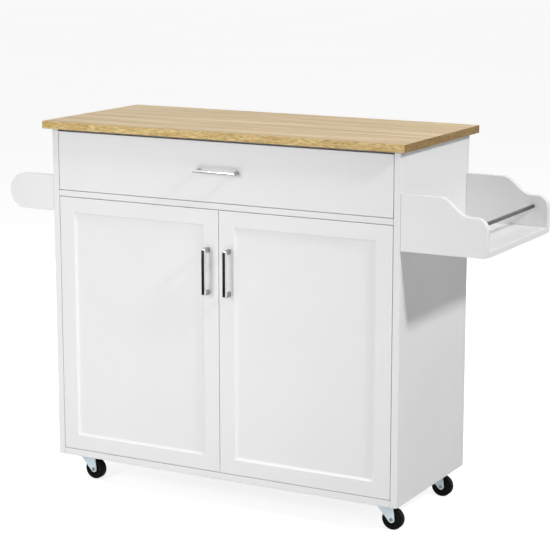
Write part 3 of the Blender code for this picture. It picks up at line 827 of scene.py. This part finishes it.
# ---------------------------------------------------------------- casters
def caster_wheel(corner):
    """A rubber tyre with rounded shoulders on a ribbed plastic hub."""
    name = f"caster_wheel_{corner}"
    body = f"wheel_{corner}"
    low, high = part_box(name)
    centre = middle((low, high))
    upright = set_at(centre, (0, 1, 0))
    radius = (high.z - low.z) / 2
    half = 0.009
    hub_half = (high.y - low.y) / 2
    rim = radius - 0.0075
    lip = 0.0012
    shoulder = 0.0040
    seam_half = 0.0010
    seam_depth = 0.0003
    tyre_profile = [(rim, half - lip), (rim + lip, half), (radius - 0.0046, half)]
    tyre_profile += arc((radius - shoulder, half - shoulder), shoulder, 85, 5, 8)
    tyre_profile += [(radius, seam_half), (radius - seam_depth, 0.0), (radius, -seam_half)]
    tyre_profile += arc((radius - shoulder, -half + shoulder), shoulder, -5, -85, 8)
    tyre_profile += [(radius - 0.0046, -half), (rim + lip, -half), (rim, -half + lip), (rim, half - lip)]
    tyre_mesh = finish_mesh(f"{name}_tyre", turned(tyre_profile, 96), TYRE)
    tyre = put(f"{name}_tyre", tyre_mesh, body, upright)
    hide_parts(name)

    bore = 0.0032
    boss = 0.0075
    web = 0.0055
    seat = rim - 0.0002
    web_end = rim - 0.0030
    hub_profile = [
        (bore, hub_half),
        (boss - 0.0005, hub_half),
        (boss, hub_half - 0.0005),
        (boss + 0.0006, web),
        (web_end, web),
        (rim - 0.0022, half - 0.0008),
        (rim - 0.0016, half - 0.0002),
        (seat, half - 0.0006),
    ]
    hub_profile += [(reach, -height) for reach, height in reversed(hub_profile)]
    hub_profile.append(hub_profile[0])
    hub = finish_mesh(f"{name}_hub", turned(hub_profile, 64), HUB)
    put(f"{name}_hub", hub, body, upright)

    ribs = 8
    rib_length = web_end - boss
    rib_thickness = 0.0012
    into_hub = 0.001
    rib = finish_mesh("hub_rib", block((rib_length + into_hub, rib_thickness, 2 * (half - lip))), HUB)
    outward = Matrix.Translation((boss + rib_length / 2, 0, 0))
    places = [set_at(centre, (0, 1, 0), math.tau * number / ribs) @ outward for number in range(ribs)]
    spokes = group(f"{name}_ribs", rib, places, body)
    round_edges(spokes, 0.0003, 2)


def caster_fork(corner):
    """A pressed fork with a rounded crown, embossed legs and a riveted axle."""
    name = f"caster_fork_{corner}"
    body = f"fork_{corner}"
    low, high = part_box(name)
    swivel = Vector(JOINTS[f"caster_swivel_{corner}"]["pos_m"])
    axle = Vector(JOINTS[f"wheel_spin_{corner}"]["pos_m"])
    trail = axle.x - swivel.x
    top = swivel.z
    sheet = 0.002
    width = high.y - low.y
    boss = 0.0076
    chamfer_drop = 0.0025
    outline = [(-0.0135, top), (-0.0145, top - chamfer_drop)]
    outline += arc((trail, axle.z), boss, 222, 367, 18)
    outline += [(0.0255, top - chamfer_drop), (0.0245, top)]
    body_mesh = finish_mesh(name, extruded(outline, width), ZINC)
    hollow_low = -0.03
    hollow_length = 0.12
    hollow = block((hollow_length, width - 2 * sheet, top - sheet - hollow_low))
    hollow_mesh = finish_mesh("fork_hollow", hollow, ZINC)
    hollow_mesh.transform(Matrix.Translation((0.01, 0, (top - sheet + hollow_low) / 2)))
    body_mesh = carve(body_mesh, hollow_mesh, ZINC)
    under_swivel = Matrix.Translation((swivel.x, swivel.y, 0))
    fork = put(f"{name}_pressing", body_mesh, body, under_swivel)
    round_edges(fork, 0.0008, 3)
    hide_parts(name)

    crown = [(0.0, 0.0062), (0.0048, 0.0062), (0.0050, 0.0060), (0.0050, 0.0), (0.0, 0.0)]
    kingpin = finish_mesh(f"{name}_kingpin", turned(crown, 32), ZINC)
    on_bridge = Matrix.Translation((swivel.x, swivel.y, top - 0.0003))
    put(f"{name}_kingpin", kingpin, body, on_bridge)

    rib_half = 0.0095
    rib_outline = arc((0.0, rib_half), 0.0022, 0, 180, 10) + arc((0.0, -rib_half), 0.0016, 180, 360, 10)
    rib = finish_mesh("fork_rib", extruded(rib_outline, 0.0010), ZINC)
    lean = Matrix.Rotation(-math.atan2(trail * 0.55, top - axle.z), 4, "Y")
    middle_x = swivel.x + trail * 0.62
    middle_z = (top + axle.z) / 2 + 0.0035
    places = [
        Matrix.Translation((middle_x, swivel.y + side * width / 2, middle_z)) @ lean
        for side in (-1, 1)
    ]
    ribs = group(f"{name}_embossing", rib, places, body)
    round_edges(ribs, 0.00045, 3)

    axle_name = f"caster_axle_{corner}"
    axle_low, axle_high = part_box(axle_name)
    half = (axle_high.y - axle_low.y) / 2
    head = (axle_high.x - axle_low.x) / 2
    head_height = 0.0016
    head_ease = 0.0012
    dimple_depth = 0.0006
    shaft = 0.003
    rivet = [(0.0, half - dimple_depth), (0.0012, half - dimple_depth), (0.0020, half)]
    rivet += arc((head - head_ease, half - head_ease), head_ease, 90, 0, 5)
    rivet += [(head, half - head_height), (shaft, half - head_height)]
    rivet += [(reach, -height) for reach, height in reversed(rivet)]
    # The rivet shares the feet's darker plate, whose grey is partly painted shade.
    rivet_mesh = finish_mesh(f"{axle_name}_rivet", turned(rivet, 48), SHADED_FOOT)
    pin = put(f"{axle_name}_rivet", rivet_mesh, body, set_at(axle, (0, 1, 0)))
    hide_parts(axle_name)


def caster_plate(corner):
    """The top plate with rounded corners, four screws and a pressed ball race."""
    name = f"caster_plate_{corner}"
    low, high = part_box(name)
    swivel = Vector(JOINTS[f"caster_swivel_{corner}"]["pos_m"])
    size = high.x - low.x
    thick = 0.0022
    corner_radius = 0.006
    inset = size / 2 - corner_radius
    outline = []
    for start, (across, along) in zip((0, 90, 180, 270), ((1, 1), (-1, 1), (-1, -1), (1, -1))):
        outline += arc((across * inset, along * inset), corner_radius, start, start + 90, 6)
    plate = finish_mesh(name, extruded(outline, thick), ZINC)
    lie_flat = Matrix.Rotation(math.pi / 2, 4, "X")
    place = Matrix.Translation((swivel.x, swivel.y, high.z - thick / 2)) @ lie_flat
    sheet = put(f"{name}_sheet", plate, "cabinet", place)
    round_edges(sheet, 0.0004, 2)
    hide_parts(name)

    race_top = high.z - thick
    drop = race_top - low.z
    bore = 0.0055
    race = [
        (bore, -drop),
        (0.0118, -drop),
        (0.0132, -drop + 0.0008),
        (0.0138, -drop + 0.0022),
        (0.0145, -drop + 0.0026),
        (0.0145, -0.0016),
        (0.0152, -0.0004),
        (0.0168, 0.0),
        (bore, 0.0),
        (bore, -drop),
    ]
    race_mesh = finish_mesh(f"{name}_race", turned(race, 64), ZINC)
    under_plate = Matrix.Translation((swivel.x, swivel.y, race_top))
    put(f"{name}_race", race_mesh, "cabinet", under_plate)
    spacing = size / 2 - 0.0068
    places = [
        set_at((swivel.x + across * spacing, swivel.y + along * spacing, race_top), (0, 0, -1), 0.4 * across)
        for across in (-1, 1)
        for along in (-1, 1)
    ]
    group(f"{name}_screws", PAN_HEAD, places, "cabinet")


# ---------------------------------------------------------------- small fittings
def painted_shelf_holes():
    """Two columns of drilled shelf holes in each side panel, drawn as thin discs whose colour is the holes'
    painted shade.
    """
    disc = [
        (0.0, 0.0),
        (0.0022, 0.00003),
        (0.0025, 0.00008),
        (0.0026, 0.00010),
        (0.0026, 0.0),
        (0.0, 0.0),
    ]
    mesh = finish_mesh("shelf_hole", turned(disc, 24), HOLE_SHADE)
    front_y = middle(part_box("shelf_pin_left_front")).y
    back_y = middle(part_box("shelf_pin_left_back")).y
    shelf_z = middle(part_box("shelf_pin_left_front")).z
    walls = {"left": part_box("side_panel_left")[1].x, "right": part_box("side_panel_right")[0].x}
    pitch = 0.032
    clearance = 0.00002
    steps = [number for number in range(-3, 4) if number]
    places = []
    for side, inward in INWARD.items():
        x = walls[side] + inward * clearance
        for y in (front_y, back_y):
            for number in steps:
                places.append(set_at((x, y, shelf_z + number * pitch), (inward, 0, 0)))
    group("painted_shelf_holes", mesh, places, "cabinet")


def back_panel_screws():
    """Screws round the back panel's border."""
    low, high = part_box("back_panel")
    border = 0.012
    across = 7
    upward = 5
    places = []
    for number in range(across):
        x = low.x + border + (high.x - low.x - 2 * border) * number / (across - 1)
        for z in (low.z + border, high.z - border):
            places.append(set_at((x, high.y, z), (0, 1, 0), 0.3 * number))
    for number in range(1, upward):
        z = low.z + border + (high.z - low.z - 2 * border) * number / upward
        for x in (low.x + border, high.x - border):
            places.append(set_at((x, high.y, z), (0, 1, 0), 0.5 * number))
    group("back_panel_screws", PANEL_SCREW, places, "cabinet")


def runner_screws():
    """Screws that hold the runner channels, and the rollers at their ends."""
    roller_half = 0.0030
    roller_radius = 0.0078
    roller_ease = 0.0008
    half_roller = [
        (0.0, -roller_half),
        (roller_radius - roller_ease, -roller_half),
        (roller_radius, -roller_half + roller_ease),
    ]
    roller_profile = half_roller + [(reach, -height) for reach, height in reversed(half_roller)]
    roller = finish_mesh("runner_roller", turned(roller_profile, 32), HUB)
    web_thickness = 0.0015
    roller_gap = 0.0034
    roller_inset = 0.012
    for side, inward in INWARD.items():
        low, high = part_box(f"runner_cabinet_{side}")
        middle_z = (low.z + high.z) / 2
        web = (low.x if side == "left" else high.x) + inward * web_thickness
        member_low, member_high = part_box(f"runner_drawer_{side}")
        member_web = (member_high.x if side == "left" else member_low.x) - inward * web_thickness
        places = [
            set_at((web, low.y + along, middle_z), (inward, 0, 0), along * 9)
            for along in (0.030, 0.160, 0.285)
        ]
        group(f"runner_cabinet_{side}_screws", FLAT_HEAD, places, "cabinet")
        places = [
            set_at((member_web, member_low.y + along, middle_z), (-inward, 0, 0), along * 7)
            for along in (0.060, 0.200, 0.250)
        ]
        group(f"runner_drawer_{side}_screws", FLAT_HEAD, places, "drawer")
        end_x = member_web - inward * roller_gap
        end = set_at((end_x, member_high.y - roller_inset, middle_z), (inward, 0, 0))
        group(f"runner_drawer_{side}_roller", roller, [end], "drawer")


dress_cad_nodes()
for side in SIDES:
    door_leaf(side)
    for level in LEVELS:
        hinge_cup(side, level)
        hinge_arm(side, level)
bar_handle("drawer_handle", "drawer", upright=False, fullness=2.3)
rack_rod("towel_rod", "cabinet")
rack_rod("rack_rod", "cabinet")
for corner in CORNERS:
    caster_wheel(corner)
    caster_fork(corner)
    caster_plate(corner)
painted_shelf_holes()
back_panel_screws()
runner_screws()


# ---------------------------------------------------------------- stage, light and camera
DOME_LIGHT = 0.31
FLOOR_GLOW = 0.74


def floor():
    shape = bmesh.new()
    bmesh.ops.create_grid(shape, x_segments=1, y_segments=1, size=30.0)
    look = Look("pale_floor", roughness=0.9, Specular_IOR_Level=0.1)
    look.colour(look.ramp(look.noise(look.stretched((0.7, 0.7, 0.7))), (0.3, 0.54), (0.7, 0.56)))
    rays = look.tree.nodes.new("ShaderNodeLightPath")
    glow = look.maths("MULTIPLY", rays.outputs["Is Camera Ray"], FLOOR_GLOW)
    look.link(glow, look.shader.inputs["Emission Strength"])
    look.shader.inputs["Emission Color"].default_value = (1.0, 1.0, 1.0, 1.0)
    mesh = finish_mesh("floor", shape, look.material)
    ground = bpy.data.objects.new("floor", mesh)
    bpy.context.scene.collection.objects.link(ground)
    ground.visible_glossy = False


def softbox(name, azimuth, elevation, distance, size, power, aim=(0.0, 0.0, 0.45), reflected=True):
    """An area light that faces a point, placed as seen from the front of the cart."""
    turn = math.radians(azimuth)
    lift = math.radians(elevation)
    away = Vector((math.sin(turn) * math.cos(lift), -math.cos(turn) * math.cos(lift), math.sin(lift)))
    data = bpy.data.lights.new(name, "AREA")
    data.shape = "RECTANGLE"
    data.size, data.size_y = size
    data.energy = power
    lamp = bpy.data.objects.new(name, data)
    bpy.context.scene.collection.objects.link(lamp)
    lamp.location = Vector(aim) + away * distance
    lamp.rotation_euler = (-away).to_track_quat("-Z", "Y").to_euler()
    lamp.visible_camera = False
    lamp.visible_glossy = reflected


def world():
    """A white studio: reflections see it bright above and to the right, and black just under level."""
    dome = bpy.data.worlds.new("studio")
    bpy.context.scene.world = dome
    dome.use_nodes = True
    tree = dome.node_tree
    nodes = tree.nodes
    links = tree.links
    background = nodes["Background"]
    rays = nodes.new("ShaderNodeLightPath")
    place = nodes.new("ShaderNodeTexCoord")

    def along(direction):
        product = nodes.new("ShaderNodeVectorMath")
        product.operation = "DOT_PRODUCT"
        product.inputs[1].default_value = direction
        links.new(place.outputs["Generated"], product.inputs[0])
        return product.outputs["Value"]

    def add_half(value):
        node = nodes.new("ShaderNodeMath")
        node.operation = "MULTIPLY_ADD"
        node.inputs[1].default_value = 0.5
        node.inputs[2].default_value = 0.5
        links.new(value, node.inputs[0])
        return node.outputs[0]

    height = add_half(along((0, 0, 1)))
    right = (0.906, -0.42, 0)
    back = (0.30, 0.95, 0)
    level = add_ramp(tree, height, (0.27, 0.75), (0.33, 0.015), (0.412, 0.015), (0.421, 1.0))
    toward_right = add_ramp(tree, along(right), (0.12, 0.0), (0.42, 1.0))
    toward_back = add_ramp(tree, along(back), (0.45, 0.0), (0.75, 0.30))
    studio = add_mix(tree, 1.0, level, toward_right, "LIGHTEN")
    studio = add_mix(tree, 1.0, studio, toward_back, "LIGHTEN")
    seen = add_mix(tree, rays.outputs["Is Glossy Ray"], (DOME_LIGHT,) * 3, studio)
    seen = add_mix(tree, rays.outputs["Is Camera Ray"], seen, (1.0, 1.0, 1.0))
    links.new(seen, background.inputs["Color"])
    background.inputs["Strength"].default_value = 1.0


def camera():
    """Stands to the right of the front, a little above the worktop, with a long lens."""
    data = bpy.data.cameras.new("camera")
    data.sensor_width = 36.0
    data.lens = 122.18
    data.clip_end = 100.0
    eye = bpy.data.objects.new("camera", data)
    bpy.context.scene.collection.objects.link(eye)
    eye.location = (2.0331, -3.7244, 1.3596)
    tilt_down = math.radians(11.267)
    turn_left = math.radians(28.534)
    eye.rotation_euler = (math.pi / 2 - tilt_down, 0.0, turn_left)
    bpy.context.scene.camera = eye


floor()
world()
softbox("key", -20, 19, 2.5, (0.75, 0.75), 15)
softbox("low_fill", -10, 0, 1.6, (1.6, 0.5), 7.3, aim=(0, 0, 0.2), reflected=False)
softbox("back_fill", 190, 8, 3.0, (1.6, 1.0), 28, reflected=False)
softbox("left_fill", 262, 8, 3.0, (1.2, 1.0), 16, reflected=False)
softbox("rack_shadow", 78, 38, 5.0, (0.45, 0.45), 120)
softbox("overhead", 0, 90, 2.6, (1.8, 1.8), 16)
camera()
bpy.context.scene.view_settings.view_transform = "Standard"

bpy.context.view_layer.update()
